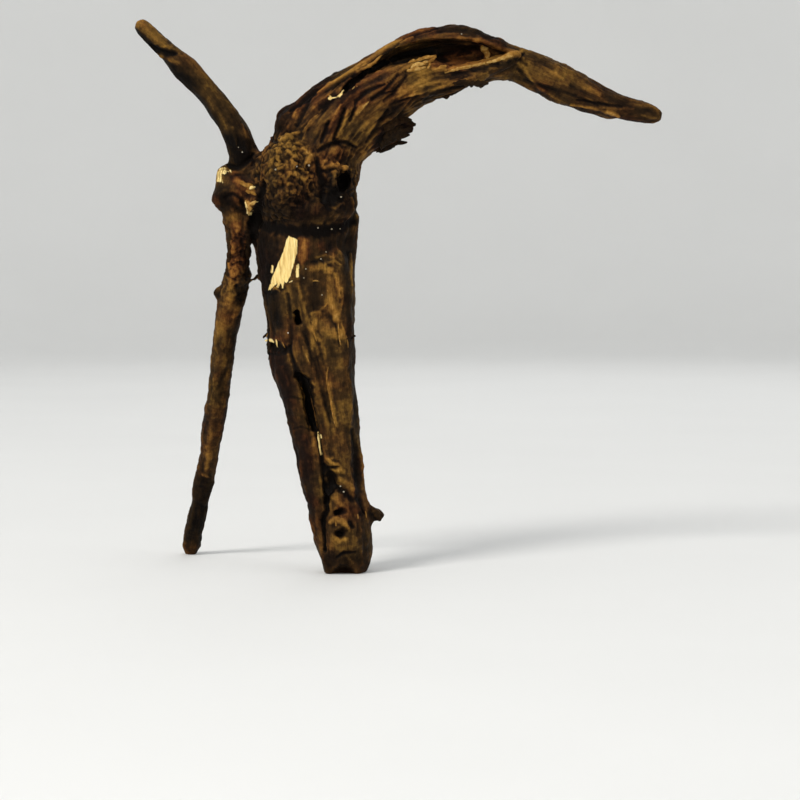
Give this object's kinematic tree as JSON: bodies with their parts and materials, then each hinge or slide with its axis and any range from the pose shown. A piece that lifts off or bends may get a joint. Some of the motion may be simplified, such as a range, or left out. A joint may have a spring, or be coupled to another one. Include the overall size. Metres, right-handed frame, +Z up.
{
  "type": "dry root",
  "caption": "Weathered, branching woody root with a knobbly burl and a torn hollow arch, standing on its broken foot and a thin side root.",
  "frame": {"origin": "on the flat sole of the thick foot, where the foot meets the ground", "axes": "+Z up from the sole, +X to the right of the front view, towards the long arched branch, +Y away from the front"},
  "size_m": [0.1637, 0.0655, 0.1721],
  "materials": {
    "weathered_wood": "dry dark bark and bare brown wood, fibrous, matt with a slight waxy sheen"
  },
  "bodies": {
    "root": {"dry_root": "weathered_wood"}
  },
  "joints": []
}
